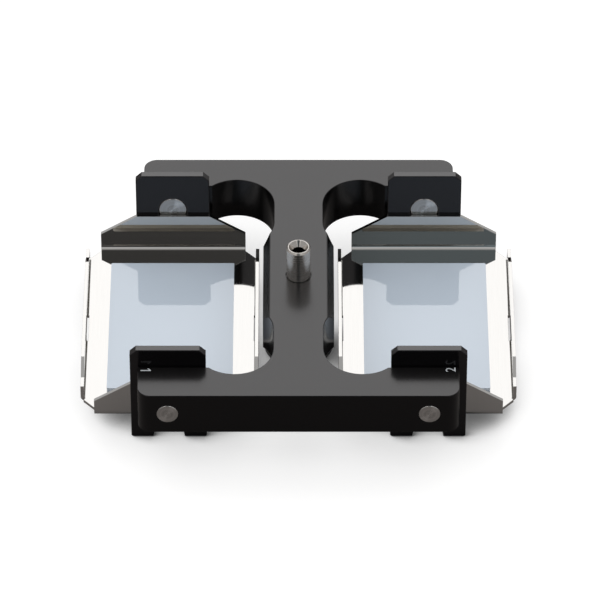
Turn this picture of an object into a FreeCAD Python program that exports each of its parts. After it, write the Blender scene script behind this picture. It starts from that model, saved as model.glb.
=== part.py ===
import FreeCAD, Part
import math
import os
import Sketcher

# Microplate swing-out rotor, millimetres, +Z up.
# The origin is on the shaft's axis, at the level that the hub stands on. The swing axes run along Y.

document = FreeCAD.newDocument("swing_out_rotor")
sheet = document.addObject("Spreadsheet::Sheet", "Sizes")

# Driving dimensions

DRIVING_SIZES = {
    # rotor body: two bars along X, joined by a web along Y
    "rotor_span": 215.2,
    "rotor_depth": 247.0,
    "rotor_thickness": 32.5,
    "bar_depth": 29.0,
    "bar_corner_radius": 9.0,
    "web_width": 48.4,
    "web_bevel_width": 4.6,
    "web_bevel_drop": 6.8,
    "pocket_radius": 26.0,
    "pocket_bite": 6.5,
    "pocket_length": 19.0,
    "pocket_web_wall": 16.9,
    "edge_break": 0.4,
    # hub and sleeve
    "hub_drop": 31.5,
    "hub_radius": 23.4,
    "hub_recess_radius": 12.3,
    "hub_recess_depth": 6.0,
    "drive_slot_width": 6.2,
    "sleeve_radius": 8.2,
    "sleeve_rise": 25.5,
    "sleeve_rim_width": 1.0,
    "sleeve_rim_drop": 1.4,
    "sleeve_mouth_radius": 6.65,
    "sleeve_mouth_depth": 3.8,
    "sleeve_through_radius": 4.0,
    "drive_bore_radius": 5.0,
    "drive_bore_length": 45.0,
    "shoulder_radius": 12.0,
    "shoulder_height": 5.0,
    "sleeve_gap_width": 0.7,
    "sleeve_gap_depth": 1.6,
    "seat_clearance": 0.02,
    # hub screws
    "hub_screw_circle": 18.0,
    "hub_screw_radius": 2.5,
    "hub_screw_head_radius": 4.25,
    "hub_screw_head_height": 5.0,
    "hub_screw_grip": 9.5,
    "hub_screw_bite": 10.5,
    "hub_screw_socket": 4.6,
    "head_clearance": 0.35,
    "thread_end_room": 2.0,
    # trunnion pins and the screws that lock them
    "swing_offset": 87.5,
    "pin_radius": 7.5,
    "journal_radius": 9.65,
    "journal_inset": 0.3,
    "pin_edge_bevel": 0.5,
    "lock_screw_radius": 2.5,
    "lock_screw_socket": 2.9,
    # hangers
    "hanger_width": 51.0,
    "hanger_gauge": 5.4,
    "hanger_top": 30.2,
    "hanger_corner": 4.2,
    "foot_clearance": 0.4,
    "bar_gap": 1.0,
    "running_clearance": 0.08,
    "slot_flare": 0.9,
    "slot_flare_height": 5.0,
    "foot_bevel": 1.0,
    # trays
    "tray_gauge": 2.4,
    "tray_width": 120.4,
    "tray_drop": 32.1,
    "side_bend_radius": 1.0,
    "end_bend_radius": 3.0,
    "end_plate_width": 101.0,
    "end_plate_height": 27.9,
    "shoulder_start": 11.9,
    "wall_half_length": 71.7,
    "wall_low_height": 10.5,
    "wall_high_height": 17.8,
    "wall_high_half": 49.3,
    "wall_ramp_length": 13.2,
    "corner_ear": 1.5,
    "corner_cut_start": 81.5,
    "window_length": 26.6,
    "window_rise": 4.6,
    "window_corner": 1.2,
    # mats
    "mat_width": 85.5,
    "mat_length": 130.2,
    "mat_height": 3.0,
    "mat_corner": 1.0,
    # screws between hanger and end plate
    "hanger_screw_radius": 2.0,
    "hanger_screw_head_radius": 3.9,
    "hanger_screw_cone": 1.9,
    "hanger_screw_land": 0.3,
    "hanger_screw_bite": 1.9,
    "hanger_screw_spread": 15.5,
    "hanger_screw_high": 13.5,
    "hanger_screw_low": 27.0,
    "hanger_screw_socket": 2.9,
    "socket_depth": 1.6,
}

# Sizes that follow from the driving ones

DERIVED_SIZES = {
    "body_top": "hub_drop + rotor_thickness",
    "swing_height": "hub_drop + rotor_thickness / 2",
    "half_span": "rotor_span / 2",
    "half_depth": "rotor_depth / 2",
    "bar_inner": "half_depth - bar_depth",
    "half_web": "web_width / 2",
    "pocket_centre_x": "pocket_web_wall + pocket_radius",
    "pocket_outer_y": "bar_inner + pocket_bite - pocket_radius",
    "pocket_inner_y": "pocket_outer_y - pocket_length",
    "pocket_on_bar": "pocket_centre_x + sqrt(pow(pocket_radius; 2) - pow(bar_inner - pocket_outer_y; 2))",
    "pocket_on_web": "pocket_inner_y - sqrt(pow(pocket_radius; 2) - pow(pocket_centre_x - half_web; 2))",
    "sleeve_bottom": "hub_recess_depth",
    "sleeve_top": "body_top + sleeve_rise",
    "hanger_outer": "bar_inner - bar_gap",
    "hanger_inner": "hanger_outer - hanger_gauge",
    "slot_radius": "journal_radius + running_clearance",
    "hanger_bottom": "swing_height - foot_clearance",
    "half_hanger": "hanger_width / 2",
    "half_tray": "tray_width / 2",
    "half_plate": "end_plate_width / 2",
    "side_bend_line": "half_tray - tray_gauge - side_bend_radius",
    "end_bend_line": "hanger_inner - tray_gauge - end_bend_radius",
    "tray_floor": "swing_height - tray_drop",
    "screw_hole_depth": "hanger_screw_bite + seat_clearance",
}


def fill_sheet():
    row = 1
    for name, number in DRIVING_SIZES.items():
        sheet.set("A%d" % row, name)
        sheet.set("B%d" % row, str(number))
        sheet.setAlias("B%d" % row, name)
        row += 1
    for name, rule in DERIVED_SIZES.items():
        sheet.set("A%d" % row, name)
        sheet.set("B%d" % row, "=" + rule)
        sheet.setAlias("B%d" % row, name)
        row += 1
    document.recompute()


fill_sheet()


def size(rule):
    """Value of a rule written in the sheet's own names."""
    return float(sheet.evalExpression(rule))


def tied(rule):
    """The same rule as another object of the document reads it."""
    words = []
    word = ""
    for character in rule + " ":
        if character.isalnum() or character == "_":
            word += character
            continue
        if word in DRIVING_SIZES or word in DERIVED_SIZES:
            word = "Sizes." + word
        words.append(word + character)
        word = ""
    return "".join(words).strip()


def bind(item, field, rule):
    item.setExpression(field, tied(rule))


def place(item, x="0", y="0", z="0"):
    bind(item, "Placement.Base.x", x)
    bind(item, "Placement.Base.y", y)
    bind(item, "Placement.Base.z", z)


# Sketch helpers: every point is held by a distance from the origin that a rule drives

def new_body(label):
    body = document.addObject("PartDesign::Body", label)
    body.Label = label
    return body


def new_sketch(body, name, plane, height="0"):
    sketch = body.newObject("Sketcher::SketchObject", name)
    for feature in body.Origin.OriginFeatures:
        if feature.Role == plane:
            sketch.AttachmentSupport = [(feature, "")]
    sketch.MapMode = "FlatFace"
    bind(sketch, "AttachmentOffset.Base.z", height)
    return sketch


def hold_point(sketch, geometry, end, x, y):
    for kind, rule in (("DistanceX", x), ("DistanceY", y)):
        number = sketch.addConstraint(Sketcher.Constraint(kind, -1, 1, geometry, end, size(rule)))
        bind(sketch, "Constraints[%d]" % number, rule)


def arc_between(start, finish, radius, turn):
    """Arc shorter than half a circle; turn is 1 for anticlockwise and -1 for clockwise."""
    chord = finish - start
    middle = (start + finish) * 0.5
    rise = math.sqrt(max(radius ** 2 - (chord.Length / 2) ** 2, 0.0))
    normal = FreeCAD.Vector(-chord.y, chord.x, 0).normalize()
    centre = middle + normal * rise * turn
    first, last = (start, finish) if turn > 0 else (finish, start)
    circle = Part.Circle(centre, FreeCAD.Vector(0, 0, 1), radius)
    return Part.ArcOfCircle(circle, circle.parameter(first), circle.parameter(last))


def draw_outline(sketch, points):
    """Closed outline. A point is (x, y), or (x, y, radius, turn) where an arc leads to the next one."""
    corners = [FreeCAD.Vector(size(point[0]), size(point[1]), 0) for point in points]
    starts = []
    ends = []
    for index, point in enumerate(points):
        here = corners[index]
        there = corners[(index + 1) % len(points)]
        if len(point) == 2:
            starts.append((sketch.addGeometry(Part.LineSegment(here, there)), 1))
            ends.append((starts[-1][0], 2))
            continue
        radius, turn = point[2], point[3]
        number = sketch.addGeometry(arc_between(here, there, size(radius), turn))
        starts.append((number, 1 if turn > 0 else 2))
        ends.append((number, 2 if turn > 0 else 1))
        held = sketch.addConstraint(Sketcher.Constraint("Radius", number, size(radius)))
        bind(sketch, "Constraints[%d]" % held, radius)
    for index, point in enumerate(points):
        before = ends[index - 1]
        after = starts[index]
        sketch.addConstraint(Sketcher.Constraint("Coincident", before[0], before[1], after[0], after[1]))
        hold_point(sketch, after[0], after[1], point[0], point[1])


def draw_circle(sketch, x, y, radius):
    centre = FreeCAD.Vector(size(x), size(y), 0)
    number = sketch.addGeometry(Part.Circle(centre, FreeCAD.Vector(0, 0, 1), size(radius)))
    held = sketch.addConstraint(Sketcher.Constraint("Radius", number, size(radius)))
    bind(sketch, "Constraints[%d]" % held, radius)
    hold_point(sketch, number, 3, x, y)


def mirrored(points):
    """The outline's other half, across the sketch's vertical axis, in reverse order."""
    other = []
    for index in range(len(points) - 1, -1, -1):
        x, y = points[index][0], points[index][1]
        arc = points[index - 1][2:] if index > 0 else ()
        other.append(("-(%s)" % x, y) + tuple(arc))
    return other


# Feature helpers

def pad(body, name, sketch, length, symmetric=False, reverse=False):
    feature = body.newObject("PartDesign::Pad", name)
    feature.Profile = sketch
    feature.SideType = "Symmetric" if symmetric else "One side"
    feature.Reversed = reverse
    bind(feature, "Length", length)
    return feature


def pocket(body, name, sketch, length, symmetric=False, reverse=False):
    """Cuts the sketch's outline out of the body and stops if that takes nothing away."""
    document.recompute()
    before = body.Shape.Volume
    feature = body.newObject("PartDesign::Pocket", name)
    feature.Profile = sketch
    feature.SideType = "Symmetric" if symmetric else "One side"
    feature.Reversed = reverse
    bind(feature, "Length", length)
    document.recompute()
    if not body.Shape.Volume < before - 1e-6:
        raise RuntimeError(body.Label + ": " + name + " cuts nothing")
    return feature


def revolve(body, name, sketch, axis):
    feature = body.newObject("PartDesign::Revolution", name)
    feature.Profile = sketch
    feature.ReferenceAxis = (sketch, [axis])
    feature.Angle = 360
    return feature


def bevel(body, name, chooses, width):
    """Chamfer on the edges of the body's last shape that the given test picks."""
    document.recompute()
    base = body.Tip
    edges = ["Edge%d" % (number + 1) for number, edge in enumerate(base.Shape.Edges) if chooses(edge)]
    feature = body.newObject("PartDesign::Chamfer", name)
    feature.Base = (base, edges)
    bind(feature, "Size", width)
    return feature


def round_edges(body, name, chooses, radius):
    document.recompute()
    base = body.Tip
    edges = ["Edge%d" % (number + 1) for number, edge in enumerate(base.Shape.Edges) if chooses(edge)]
    feature = body.newObject("PartDesign::Fillet", name)
    feature.Base = (base, edges)
    bind(feature, "Radius", radius)
    return feature


def is_at(edge, axis, position):
    """True where the whole edge lies at one position along an axis."""
    low, high = edge_span(edge, axis)
    return abs(low - position) < 1e-4 and abs(high - position) < 1e-4


def edge_span(edge, axis):
    box = edge.BoundBox
    return {"x": (box.XMin, box.XMax), "y": (box.YMin, box.YMax), "z": (box.ZMin, box.ZMax)}[axis]


def runs_along(edge, axis):
    spans = {name: edge_span(edge, name) for name in "xyz"}
    return all((spans[name][1] - spans[name][0] > 1e-4) == (name == axis) for name in "xyz")


# Rotor body: H-shaped plate with four relief pockets beside the web

def rotor_body():
    body = new_body("rotor_body")
    outline = new_sketch(body, "Outline", "XY_Plane")
    back_bar = [
        ("half_span", "bar_inner"),
        ("half_span", "half_depth"),
        ("-half_span", "half_depth"),
        ("-half_span", "bar_inner"),
    ]
    left_window = [
        ("-pocket_on_bar", "bar_inner", "pocket_radius", -1),
        ("-pocket_web_wall", "pocket_outer_y"),
        ("-pocket_web_wall", "pocket_inner_y", "pocket_radius", -1),
        ("-half_web", "pocket_on_web"),
        ("-half_web", "-pocket_on_web", "pocket_radius", -1),
        ("-pocket_web_wall", "-pocket_inner_y"),
        ("-pocket_web_wall", "-pocket_outer_y", "pocket_radius", -1),
        ("-pocket_on_bar", "-bar_inner"),
    ]
    front_bar = [
        ("-half_span", "-bar_inner"),
        ("-half_span", "-half_depth"),
        ("half_span", "-half_depth"),
        ("half_span", "-bar_inner"),
    ]
    right_window = [
        ("pocket_on_bar", "-bar_inner", "pocket_radius", -1),
        ("pocket_web_wall", "-pocket_outer_y"),
        ("pocket_web_wall", "-pocket_inner_y", "pocket_radius", -1),
        ("half_web", "-pocket_on_web"),
        ("half_web", "pocket_on_web", "pocket_radius", -1),
        ("pocket_web_wall", "pocket_inner_y"),
        ("pocket_web_wall", "pocket_outer_y", "pocket_radius", -1),
        ("pocket_on_bar", "bar_inner"),
    ]
    draw_outline(outline, back_bar + left_window + front_bar + right_window)
    pad(body, "Plate", outline, "rotor_thickness")
    round_edges(body, "BarCorners", is_bar_corner, "bar_corner_radius")

    # bevels along the web's upper edges, as long as the web is straight between the pockets
    for name, side in (("WebBevelLeft", "-"), ("WebBevelRight", "")):
        section = new_sketch(body, name + "Section", "XZ_Plane")
        draw_outline(section, [
            (side + "(half_web - web_bevel_width)", "rotor_thickness"),
            (side + "half_web", "rotor_thickness - web_bevel_drop"),
            (side + "(half_web + web_bevel_width)", "rotor_thickness - web_bevel_drop"),
            (side + "(half_web + web_bevel_width)", "rotor_thickness + web_bevel_drop"),
            (side + "(half_web - web_bevel_width)", "rotor_thickness + web_bevel_drop"),
        ])
        pocket(body, name, section, "2 * pocket_inner_y", symmetric=True)

    # sleeve bore with a wider mouth, and the tapped holes for the hub's screws
    bore = new_sketch(body, "SleeveBoreCircle", "XY_Plane")
    draw_circle(bore, "0", "0", "sleeve_radius + seat_clearance")
    pocket(body, "SleeveBore", bore, "2 * rotor_thickness + 2", symmetric=True)
    mouth = new_sketch(body, "SleeveGapCircle", "XY_Plane", "rotor_thickness")
    draw_circle(mouth, "0", "0", "sleeve_radius + sleeve_gap_width")
    pocket(body, "SleeveGap", mouth, "sleeve_gap_depth")
    threads = new_sketch(body, "HubThreadCircles", "XY_Plane")
    for x, y in hub_screw_places():
        draw_circle(threads, x, y, "hub_screw_radius + seat_clearance")
    pocket(body, "HubThreads", threads, "hub_screw_bite + thread_end_room", reverse=True)

    # pin holes along Y through both bars, and the lock screws' holes that meet them from below
    pins = new_sketch(body, "PinCircles", "XZ_Plane")
    for side in ("", "-"):
        draw_circle(pins, side + "swing_offset", "rotor_thickness / 2", "pin_radius + seat_clearance")
    pocket(body, "PinHoles", pins, "rotor_depth + 2", symmetric=True)
    locks = new_sketch(body, "LockCircles", "XY_Plane")
    for x, y in lock_screw_places():
        draw_circle(locks, x, y, "lock_screw_radius + seat_clearance")
    pocket(body, "LockHoles", locks, "rotor_thickness / 2", reverse=True)

    bevel(body, "EdgeBreak", is_body_rim, "edge_break")
    place(body, z="hub_drop")
    return body


def is_bar_corner(edge):
    reach_x = max(abs(value) for value in edge_span(edge, "x"))
    reach_y = max(abs(value) for value in edge_span(edge, "y"))
    at_corner = abs(reach_x - size("half_span")) < 1e-4 and abs(reach_y - size("half_depth")) < 1e-4
    return runs_along(edge, "z") and at_corner


def is_body_rim(edge):
    """Edges of the top and bottom faces, apart from the round mouths of holes."""
    level = is_at(edge, "z", size("rotor_thickness")) or is_at(edge, "z", 0)
    return level and not edge.isClosed()


def hub_screw_places():
    reach = "hub_screw_circle * sqrt(0.5)"
    return [(x + reach, y + reach) for x in ("", "-") for y in ("", "-")]


def lock_screw_places():
    middle = "(half_depth - bar_depth / 2)"
    return [(x + "swing_offset", y + middle) for x in ("", "-") for y in ("", "-")]


# Hub sleeve: turned tube with a shoulder, a countersunk mouth and a stepped bore

def hub_sleeve():
    body = new_body("hub_sleeve")
    section = new_sketch(body, "HalfSection", "XZ_Plane")
    draw_outline(section, [
        ("drive_bore_radius", "sleeve_bottom"),
        ("sleeve_radius", "sleeve_bottom"),
        ("sleeve_radius", "hub_drop - shoulder_height"),
        ("shoulder_radius", "hub_drop - shoulder_height"),
        ("shoulder_radius", "hub_drop"),
        ("sleeve_radius", "hub_drop"),
        ("sleeve_radius", "sleeve_top - sleeve_rim_drop"),
        ("sleeve_radius - sleeve_rim_width", "sleeve_top"),
        ("sleeve_mouth_radius", "sleeve_top"),
        ("sleeve_through_radius", "sleeve_top - sleeve_mouth_depth"),
        ("sleeve_through_radius", "sleeve_bottom + drive_bore_length + drive_bore_radius - sleeve_through_radius"),
        ("drive_bore_radius", "sleeve_bottom + drive_bore_length"),
    ])
    revolve(body, "Turning", section, "V_Axis")
    place(body)
    return body


# Drive hub: round block with a bore for the sleeve, a recess and drive slot below, and deep screw holes

def drive_hub():
    body = new_body("drive_hub")
    section = new_sketch(body, "HalfSection", "XZ_Plane")
    draw_outline(section, [
        ("sleeve_radius + seat_clearance", "hub_recess_depth"),
        ("hub_recess_radius", "hub_recess_depth"),
        ("hub_recess_radius", "0"),
        ("hub_radius - edge_break", "0"),
        ("hub_radius", "edge_break"),
        ("hub_radius", "hub_drop"),
        ("shoulder_radius + seat_clearance", "hub_drop"),
        ("shoulder_radius + seat_clearance", "hub_drop - shoulder_height"),
        ("sleeve_radius + seat_clearance", "hub_drop - shoulder_height"),
    ])
    revolve(body, "Turning", section, "V_Axis")
    clear = new_sketch(body, "ScrewCircles", "XY_Plane")
    for x, y in hub_screw_places():
        draw_circle(clear, x, y, "hub_screw_radius + head_clearance")
    pocket(body, "ScrewHoles", clear, "2 * hub_drop + 2", symmetric=True)
    heads = new_sketch(body, "ScrewHeadCircles", "XY_Plane")
    for x, y in hub_screw_places():
        draw_circle(heads, x, y, "hub_screw_head_radius + head_clearance")
    pocket(body, "ScrewHeadRoom", heads, "hub_drop - hub_screw_grip", reverse=True)
    slot = new_sketch(body, "DriveSlotOutline", "XY_Plane")
    draw_outline(slot, rectangle("drive_slot_width / 2", "hub_radius + 1"))
    pocket(body, "DriveSlot", slot, "hub_recess_depth", reverse=True)
    place(body)
    return body


def rectangle(half_x, half_y):
    return [
        ("-(%s)" % half_x, "-(%s)" % half_y),
        (half_x, "-(%s)" % half_y),
        (half_x, half_y),
        ("-(%s)" % half_x, half_y),
    ]


# Trunnion pin: shank through the bar, wider journal towards the rotor's middle. Its axis is its own Z,
# with 0 at the bar's inner face and the shank on the positive side.

def trunnion_pin(label, side, end):
    body = new_body(label)
    section = new_sketch(body, "HalfSection", "XZ_Plane")
    journal = "bar_gap + hanger_gauge - journal_inset"
    draw_outline(section, [
        ("0", "-(%s)" % journal),
        ("journal_radius - pin_edge_bevel", "-(%s)" % journal),
        ("journal_radius", "pin_edge_bevel - (%s)" % journal),
        ("journal_radius", "0"),
        ("pin_radius", "0"),
        ("pin_radius", "bar_depth - pin_edge_bevel"),
        ("pin_radius - pin_edge_bevel", "bar_depth"),
        ("0", "bar_depth"),
    ])
    revolve(body, "Turning", section, "V_Axis")
    tilt = -90 if end > 0 else 90
    body.Placement = FreeCAD.Placement(FreeCAD.Vector(), FreeCAD.Rotation(FreeCAD.Vector(1, 0, 0), tilt))
    place(body, "%d * swing_offset" % side, "%d * bar_inner" % end, "swing_height")
    return body


# Screws: a head and a shank along their own Z, with a six-sided socket

def cylinder(name, radius, length, start):
    item = document.addObject("Part::Cylinder", name)
    bind(item, "Radius", radius)
    bind(item, "Height", length)
    place(item, z=start)
    return item


def cone(name, low_radius, high_radius, length, start):
    item = document.addObject("Part::Cone", name)
    bind(item, "Radius1", low_radius)
    bind(item, "Radius2", high_radius)
    bind(item, "Height", length)
    place(item, z=start)
    return item


def socket(name, across, depth, start):
    item = document.addObject("Part::Prism", name)
    item.Polygon = 6
    bind(item, "Circumradius", "(%s) / sqrt(3)" % across)
    bind(item, "Height", depth)
    place(item, z=start)
    return item


def screw(name, pieces, hole, x, y, z, turn):
    """One screw from its pieces, less its socket, moved to its place and turned about X."""
    whole = pieces[0]
    if len(pieces) > 1:
        whole = document.addObject("Part::MultiFuse", name + "_blank")
        whole.Shapes = pieces
    cut = document.addObject("Part::Cut", name)
    cut.Base = whole
    cut.Tool = hole
    cut.Placement = FreeCAD.Placement(FreeCAD.Vector(), FreeCAD.Rotation(FreeCAD.Vector(1, 0, 0), turn))
    place(cut, x, y, z)
    return cut


def group(label, screws):
    item = document.addObject("Part::Compound", label)
    item.Label = label
    item.Links = screws
    return item


def hub_screws():
    screws = []
    head_bottom = "hub_drop - hub_screw_grip - hub_screw_head_height"
    for number, (x, y) in enumerate(hub_screw_places(), start=1):
        name = "hub_screw_%d" % number
        head = cylinder(name + "_head", "hub_screw_head_radius", "hub_screw_head_height", "0")
        shank = cylinder(name + "_shank", "hub_screw_radius", "hub_screw_grip + hub_screw_bite",
                         "hub_screw_head_height")
        hole = socket(name + "_socket", "hub_screw_socket", "hub_screw_head_height / 2", "0")
        screws.append(screw(name, [head, shank], hole, x, y, head_bottom, 0))
    return group("hub_screws", screws)


def pin_lock_screws():
    screws = []
    length = "rotor_thickness / 2 - pin_radius - seat_clearance - edge_break"
    for number, (x, y) in enumerate(lock_screw_places(), start=1):
        name = "lock_screw_%d" % number
        shank = cylinder(name + "_shank", "lock_screw_radius", length, "0")
        hole = socket(name + "_socket", "lock_screw_socket", "(%s) / 2" % length, "0")
        screws.append(screw(name, [shank], hole, x, y, "hub_drop + edge_break", 0))
    return group("pin_lock_screws", screws)


def hanger_screws(label, side, end):
    """Four countersunk screws, heads level with the hanger's outer face and points in the end plate."""
    screws = []
    number = 0
    turn = 90 if end > 0 else -90
    for across in ("hanger_screw_spread", "-hanger_screw_spread"):
        for drop in ("hanger_screw_high", "hanger_screw_low"):
            number += 1
            name = "%s_%d" % (label, number)
            land = cylinder(name + "_land", "hanger_screw_head_radius", "hanger_screw_land", "0")
            head = cone(name + "_head", "hanger_screw_head_radius", "hanger_screw_radius", "hanger_screw_cone",
                        "hanger_screw_land")
            shank = cylinder(name + "_shank", "hanger_screw_radius",
                             "hanger_gauge + hanger_screw_bite - hanger_screw_land", "hanger_screw_land")
            hole = socket(name + "_socket", "hanger_screw_socket", "socket_depth", "0")
            screws.append(screw(name, [land, head, shank], hole, "%d * swing_offset + %s" % (side, across),
                                "%d * hanger_outer" % end, "swing_height - " + drop, turn))
    return group(label, screws)


# Hanger: plate with a slot open at the bottom. Its own origin is on the swing axis, at its outer face,
# and its thickness runs towards the rotor's middle.

def hanger(label, side, end):
    body = new_body(label)
    outline = new_sketch(body, "Outline", "XZ_Plane")
    right = [
        ("0", "slot_radius", "slot_radius", -1),
        ("slot_radius", "0"),
        ("slot_radius", "slot_flare_height - hanger_bottom"),
        ("slot_radius + slot_flare", "-hanger_bottom"),
        ("half_hanger - foot_bevel", "-hanger_bottom"),
        ("half_hanger", "foot_bevel - hanger_bottom"),
        ("half_hanger", "hanger_top - hanger_corner"),
        ("half_hanger - hanger_corner", "hanger_top"),
    ]
    draw_outline(outline, right + mirrored(right)[:-1])
    inward_is_minus_y = end > 0
    pad(body, "Plate", outline, "hanger_gauge", reverse=not inward_is_minus_y)
    bevel(body, "EdgeBreak", lambda edge: not runs_along(edge, "y"), "edge_break")

    holes = new_sketch(body, "ScrewCircles", "XZ_Plane")
    sinks = new_sketch(body, "HeadCircles", "XZ_Plane")
    for x in ("hanger_screw_spread", "-hanger_screw_spread"):
        for z in ("-hanger_screw_high", "-hanger_screw_low"):
            draw_circle(holes, x, z, "hanger_screw_radius + seat_clearance")
            draw_circle(sinks, x, z, "hanger_screw_head_radius + seat_clearance")
    pocket(body, "ScrewHoles", holes, "2 * hanger_gauge + 2", symmetric=True)
    pocket(body, "HeadLands", sinks, "hanger_screw_land + seat_clearance", reverse=inward_is_minus_y)
    countersink(body, end)
    place(body, "%d * swing_offset" % side, "%d * hanger_outer" % end, "swing_height")
    return body


def countersink(body, end):
    """Cones under the screws' lands, one for each hole."""
    inward = -1 if end > 0 else 1
    start = "%d * (hanger_screw_land + seat_clearance)" % inward
    number = 0
    for x in ("hanger_screw_spread", "-hanger_screw_spread"):
        for z in ("-hanger_screw_high", "-hanger_screw_low"):
            number += 1
            feature = body.newObject("PartDesign::SubtractiveCone", "Countersink%d" % number)
            bind(feature, "Radius1", "hanger_screw_head_radius + seat_clearance")
            bind(feature, "Radius2", "hanger_screw_radius + seat_clearance")
            bind(feature, "Height", "hanger_screw_cone")
            turn = FreeCAD.Rotation(FreeCAD.Vector(1, 0, 0), -90 * inward)
            feature.AttachmentOffset = FreeCAD.Placement(FreeCAD.Vector(), turn)
            for axis, rule in (("x", x), ("y", start), ("z", z)):
                bind(feature, "AttachmentOffset.Base." + axis, rule)
            for origin in body.Origin.OriginFeatures:
                if origin.Role == "XY_Plane":
                    feature.AttachmentSupport = [(origin, "")]
            feature.MapMode = "FlatFace"


# Tray: one folded sheet. Its own origin is under the swing axis, at the top of its floor.

def tray(label, side):
    body = new_body(label)
    floor = new_sketch(body, "FloorOutline", "XY_Plane", "-tray_gauge")
    quarter = [
        ("side_bend_line", "-wall_half_length"),
        ("side_bend_line", "wall_half_length"),
        ("side_bend_line + corner_ear", "wall_half_length + corner_ear"),
        ("half_plate", "corner_cut_start"),
        ("half_plate", "end_bend_line"),
    ]
    right = [
        ("half_plate", "-end_bend_line"),
        ("half_plate", "-corner_cut_start"),
        ("side_bend_line + corner_ear", "-(wall_half_length + corner_ear)"),
    ] + quarter
    draw_outline(floor, right + mirrored(right))
    pad(body, "Floor", floor, "tray_gauge")

    # side walls with their bends, as long as the wall, then trimmed to their stepped top edge
    for name, turn in (("SideWallRight", 1), ("SideWallLeft", -1)):
        section = new_sketch(body, name + "Section", "XZ_Plane")
        draw_outline(section, bent_flange("side_bend_line", "side_bend_radius", "wall_high_height", turn))
        pad(body, name, section, "2 * wall_half_length", symmetric=True)
    document.recompute()
    trim = new_sketch(body, "WallTrimOutline", "YZ_Plane")
    for turn in ("", "-"):
        draw_outline(trim, [
            (turn + "wall_high_half", "wall_high_height"),
            (turn + "(wall_high_half + wall_ramp_length)", "wall_low_height"),
            (turn + "(wall_half_length + 1)", "wall_low_height"),
            (turn + "(wall_half_length + 1)", "wall_high_height + 1"),
            (turn + "wall_high_half", "wall_high_height + 1"),
        ])
    pocket(body, "WallTrim", trim, "tray_width + 2", symmetric=True)

    # end plates with their bends, then trimmed to their sloped shoulders
    for name, turn in (("EndPlateBack", 1), ("EndPlateFront", -1)):
        section = new_sketch(body, name + "Section", "YZ_Plane")
        draw_outline(section, bent_flange("end_bend_line", "end_bend_radius", "end_plate_height", turn))
        pad(body, name, section, "end_plate_width", symmetric=True)
    document.recompute()
    slope = new_sketch(body, "PlateTrimOutline", "XZ_Plane")
    for turn in ("", "-"):
        draw_outline(slope, [
            (turn + "half_plate", "shoulder_start"),
            (turn + "half_hanger", "end_plate_height"),
            (turn + "half_hanger", "end_plate_height + 1"),
            (turn + "(half_plate + 1)", "end_plate_height + 1"),
            (turn + "(half_plate + 1)", "shoulder_start"),
        ])
    pocket(body, "PlateTrim", slope, "2 * hanger_inner + 2", symmetric=True)

    # windows in both side bends, from the bend line to past the wall
    for name, turn in (("WindowRight", 1), ("WindowLeft", -1)):
        window = new_sketch(body, name + "Outline", "YZ_Plane", "%d * side_bend_line" % turn)
        draw_outline(window, [
            ("-window_length / 2", "-(tray_gauge + 1)"),
            ("window_length / 2", "-(tray_gauge + 1)"),
            ("window_length / 2", "window_rise - window_corner", "window_corner", 1),
            ("window_length / 2 - window_corner", "window_rise"),
            ("window_corner - window_length / 2", "window_rise", "window_corner", 1),
            ("-window_length / 2", "window_rise - window_corner"),
        ])
        pocket(body, name, window, "half_tray", reverse=turn > 0)

    # blind holes for the hangers' screws
    holes = new_sketch(body, "ScrewCircles", "XZ_Plane", "-hanger_inner")
    far_holes = new_sketch(body, "FarScrewCircles", "XZ_Plane", "hanger_inner")
    for x in ("hanger_screw_spread", "-hanger_screw_spread"):
        for drop in ("hanger_screw_high", "hanger_screw_low"):
            for sketch in (holes, far_holes):
                draw_circle(sketch, x, "tray_drop - " + drop, "hanger_screw_radius + seat_clearance")
    pocket(body, "BackScrewHoles", holes, "screw_hole_depth", reverse=True)
    pocket(body, "FrontScrewHoles", far_holes, "screw_hole_depth")
    place(body, "%d * swing_offset" % side, "0", "tray_floor")
    return body


def bent_flange(line, radius, height, turn):
    """Section of a flange folded up from a bend line; turn is 1 towards plus and -1 towards minus."""
    side = "" if turn > 0 else "-"
    inner = side + "(%s + %s)" % (line, radius)
    outer = side + "(%s + %s + tray_gauge)" % (line, radius)
    return [
        (side + line, "-tray_gauge", "%s + tray_gauge" % radius, turn),
        (outer, radius),
        (outer, height),
        (inner, height),
        (inner, radius, radius, -turn),
        (side + line, "0"),
    ]


# Mat: flat pad on the tray's floor

def mat(label, side):
    body = new_body(label)
    outline = new_sketch(body, "Outline", "XY_Plane")
    draw_outline(outline, rectangle("mat_width / 2", "mat_length / 2"))
    pad(body, "Sheet", outline, "mat_height")
    round_edges(body, "Corners", lambda edge: runs_along(edge, "z"), "mat_corner")
    place(body, "%d * swing_offset" % side, "0", "tray_floor")
    return body


def build():
    nodes = [rotor_body(), hub_sleeve(), drive_hub(), hub_screws(), pin_lock_screws()]
    for bucket, side in ((1, -1), (2, 1)):
        nodes.append(tray("bucket_%d_tray" % bucket, side))
        nodes.append(mat("bucket_%d_mat" % bucket, side))
        for word, end in (("front", -1), ("back", 1)):
            nodes.append(trunnion_pin("trunnion_pin_%d_%s" % (bucket, word), side, end))
            nodes.append(hanger("bucket_%d_hanger_%s" % (bucket, word), side, end))
            nodes.append(hanger_screws("bucket_%d_screws_%s" % (bucket, word), side, end))
    return nodes


def write(nodes):
    document.recompute()
    for item in document.Objects:
        for state in item.State:
            if "Invalid" in state or "Error" in state:
                raise RuntimeError(item.Label + ": " + state)
    for node in nodes:
        if node.Shape.isNull() or not node.Shape.isValid():
            raise RuntimeError(node.Label + " has no valid shape")
    os.makedirs("parts", exist_ok=True)
    for node in nodes:
        node.Shape.exportStep("parts/%s.step" % node.Label)
        print("%-24s %2d solids %10.1f mm3" % (node.Label, len(node.Shape.Solids), node.Shape.Volume))


write(build())
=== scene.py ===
import bpy
import bmesh
import math
from mathutils import Matrix, Vector


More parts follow.
